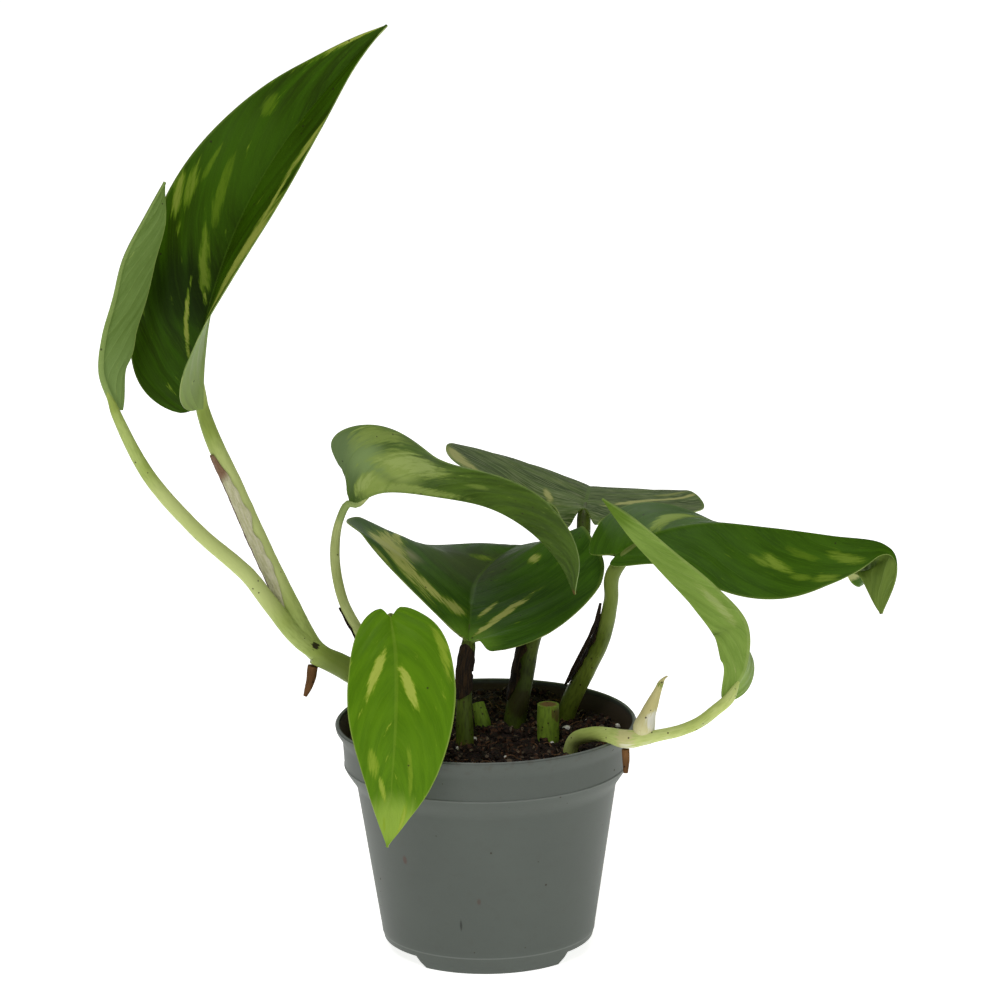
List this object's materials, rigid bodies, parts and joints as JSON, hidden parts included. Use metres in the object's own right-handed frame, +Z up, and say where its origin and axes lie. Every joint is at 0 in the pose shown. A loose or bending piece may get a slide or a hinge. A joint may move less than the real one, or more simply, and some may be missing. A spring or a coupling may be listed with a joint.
{
  "type": "potted pothos plant",
  "caption": "Trailing pothos plant with heart-shaped variegated leaves on long petioles, rooted in a round tapered nursery pot of soil.",
  "frame": {"origin": "on the pot's axis, at the level on which the pot stands", "axes": "+Z up along the pot's axis, +X to the right and -Y towards the viewer of the plant's front"},
  "size_m": [0.3114, 0.2315, 0.3703],
  "materials": {
    "pot_plastic": "satin grey moulded plastic",
    "soil": "dark fibrous potting soil",
    "leaf": "glossy dark green leaf with yellow streaks",
    "leaf_pale": "pale satin underside of a leaf",
    "leaf_fresh": "glossy fresh green leaf",
    "stem": "smooth light green stem",
    "stem_dark": "olive green stem",
    "runner": "pale green runner",
    "shoot": "papery whitish green sheath",
    "root": "brown aerial root",
    "sheath": "thin papery sheath",
    "sheath_dry": "dry dark brown sheath"
  },
  "bodies": {
    "root": {"pot": "pot_plastic", "soil": "soil", "leaf_tall": "leaf", "leaf_left_narrow": "leaf_pale", "leaf_arching": "leaf_pale", "leaf_centre": "leaf", "leaf_back": "leaf", "leaf_far_right": "leaf", "leaf_drooping": "leaf_pale", "leaf_front": "leaf_fresh", "stem_left": "stem", "petiole_arching": "stem", "petiole_front": "stem", "stem_centre": "stem_dark", "stem_back": "stem_dark", "stem_right": "stem", "runner": "runner", "shoot": "shoot", "stump_cut": "stem_dark", "stub_centre": "stem_dark", "stub_right": "stem_dark", "root_left": "root", "root_runner": "root", "sheath_tall": "sheath", "sheath_centre": "sheath_dry", "sheath_back": "sheath_dry", "sheath_right": "sheath_dry", "sheath_arching": "sheath_dry", "fibre_right": "sheath_dry"}
  },
  "joints": []
}
